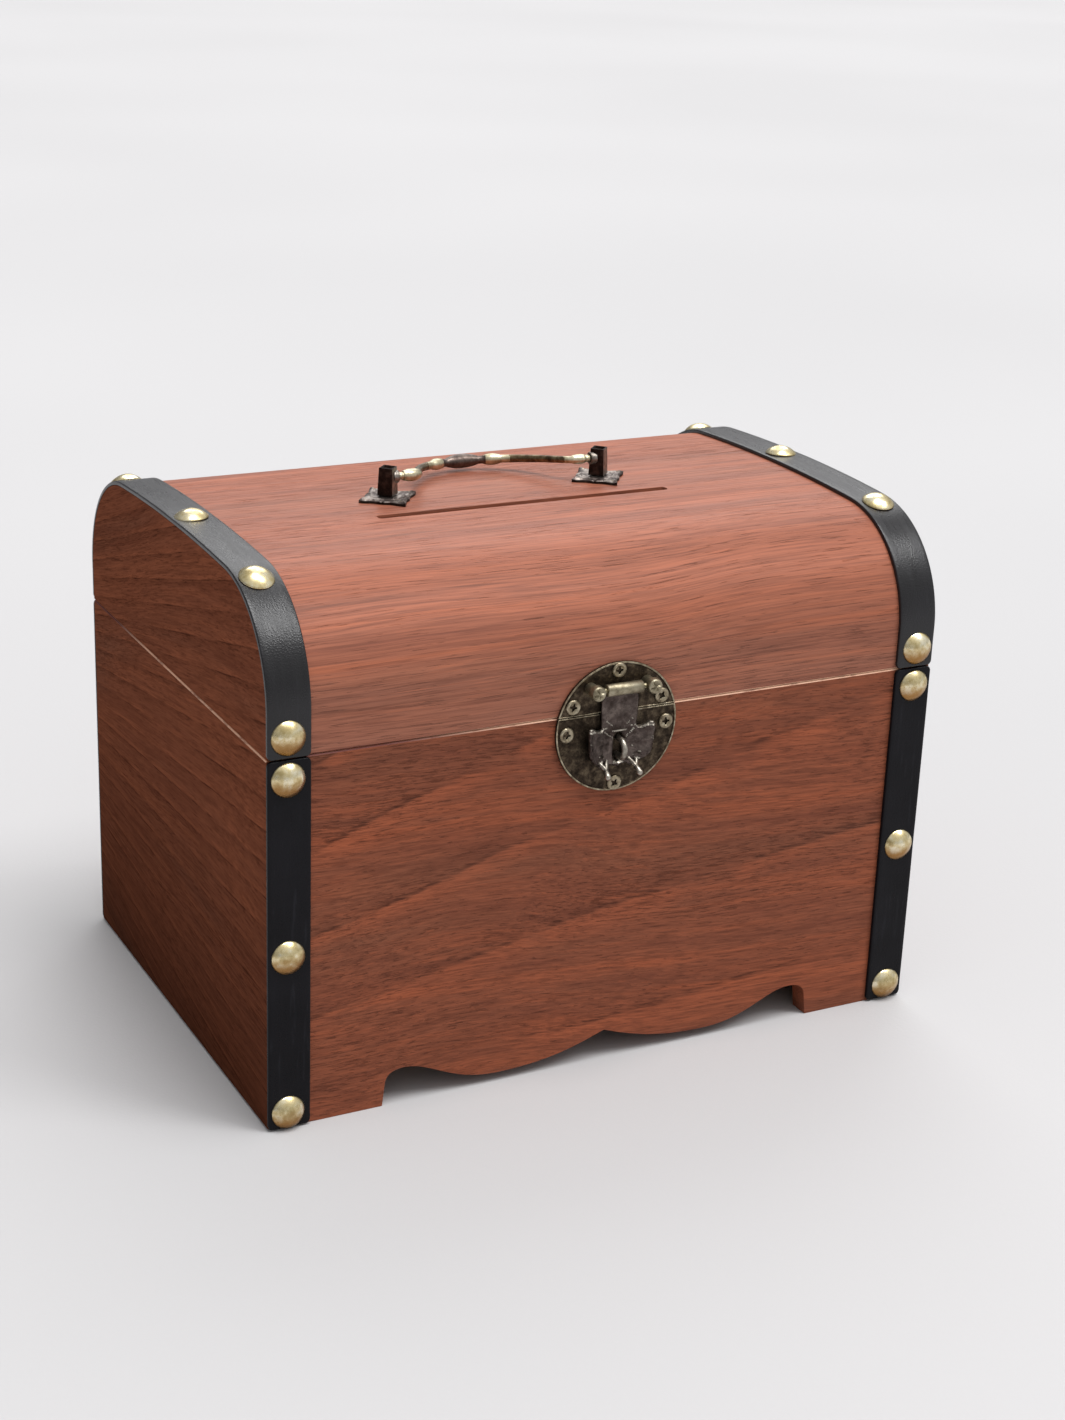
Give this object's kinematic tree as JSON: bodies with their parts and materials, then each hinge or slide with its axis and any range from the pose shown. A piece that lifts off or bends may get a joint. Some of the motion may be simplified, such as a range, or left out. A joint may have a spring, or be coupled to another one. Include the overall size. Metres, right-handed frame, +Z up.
{
  "type": "donation box",
  "caption": "Domed wooden money chest: box body, hinged arched lid with a coin slot, nailed corner straps, butterfly hasp and folding bail handle.",
  "frame": {"origin": "the middle of the bounding box at its base, on the plane the chest stands on", "axes": "+X runs to the right along the front, -Y is the front with the hasp, +Z is up"},
  "size_m": [0.225, 0.1688, 0.1754],
  "materials": {
    "red_wood": "red-brown stain, satin",
    "end_wood": "dark red-brown stain, satin",
    "raw_wood": "bare",
    "strap_leather": "black, fine grain, satin",
    "nail_brass": "polished, mottled",
    "dark_bronze": "antique, dark patina",
    "aged_pewter": "antique, pewter-brown patina",
    "worn_brass": "antique, rubbed bright on edges"
  },
  "bodies": {
    "chest_body": {"back_panel": "red_wood", "bottom_panel": "raw_wood", "front_panel": "red_wood", "hasp_lower_plate": "dark_bronze", "hasp_screw_4": "worn_brass", "hasp_screw_5": "worn_brass", "hasp_screw_6": "worn_brass", "hasp_staple": "aged_pewter", "left_back_nail_1": "nail_brass", "left_back_nail_2": "nail_brass", "left_back_nail_3": "nail_brass", "left_back_strap": "strap_leather", "left_end_panel": "end_wood", "left_front_nail_1": "nail_brass", "left_front_nail_2": "nail_brass", "left_front_nail_3": "nail_brass", "left_front_strap": "strap_leather", "left_hinge_body_leaf": "worn_brass", "left_hinge_pin": "worn_brass", "right_back_nail_1": "nail_brass", "right_back_nail_2": "nail_brass", "right_back_nail_3": "nail_brass", "right_back_strap": "strap_leather", "right_end_panel": "end_wood", "right_front_nail_1": "nail_brass", "right_front_nail_2": "nail_brass", "right_front_nail_3": "nail_brass", "right_front_strap": "strap_leather", "right_hinge_body_leaf": "worn_brass", "right_hinge_pin": "worn_brass"},
    "lid": {"handle_left_post": "dark_bronze", "handle_left_rosette": "aged_pewter", "handle_right_post": "dark_bronze", "handle_right_rosette": "aged_pewter", "hasp_hinge_pin": "worn_brass", "hasp_screw_1": "worn_brass", "hasp_screw_2": "worn_brass", "hasp_screw_3": "worn_brass", "hasp_upper_plate": "dark_bronze", "left_hinge_lid_leaf": "worn_brass", "left_lid_end": "end_wood", "left_lid_nail_1": "nail_brass", "left_lid_nail_2": "nail_brass", "left_lid_nail_3": "nail_brass", "left_lid_nail_4": "nail_brass", "left_lid_nail_5": "nail_brass", "left_lid_strap": "strap_leather", "lid_back_rail": "raw_wood", "lid_front_rail": "raw_wood", "lid_shell": "red_wood", "right_hinge_lid_leaf": "worn_brass", "right_lid_end": "end_wood", "right_lid_nail_1": "nail_brass", "right_lid_nail_2": "nail_brass", "right_lid_nail_3": "nail_brass", "right_lid_nail_4": "nail_brass", "right_lid_nail_5": "nail_brass", "right_lid_strap": "strap_leather"},
    "flap": {"hasp_flap": "aged_pewter"},
    "bail": {"handle_bail": "worn_brass"}
  },
  "joints": [
    {"name": "lid_hinge", "type": "hinge", "parent": "chest_body", "child": "lid", "pos_m": [0, 0.08267, 0.1171], "axis": [-1, 0, 0], "range_deg": [0, 135]},
    {"name": "flap_hinge", "type": "hinge", "parent": "lid", "child": "flap", "pos_m": [-0.0015, -0.08102, 0.1254], "axis": [-1, 0, 0], "range_deg": [0, 185]},
    {"name": "bail_pivot", "type": "hinge", "parent": "lid", "child": "bail", "pos_m": [-0.0042, 0.00267, 0.1721], "axis": [1, 0, 0], "range_deg": [0, 199]}
  ]
}
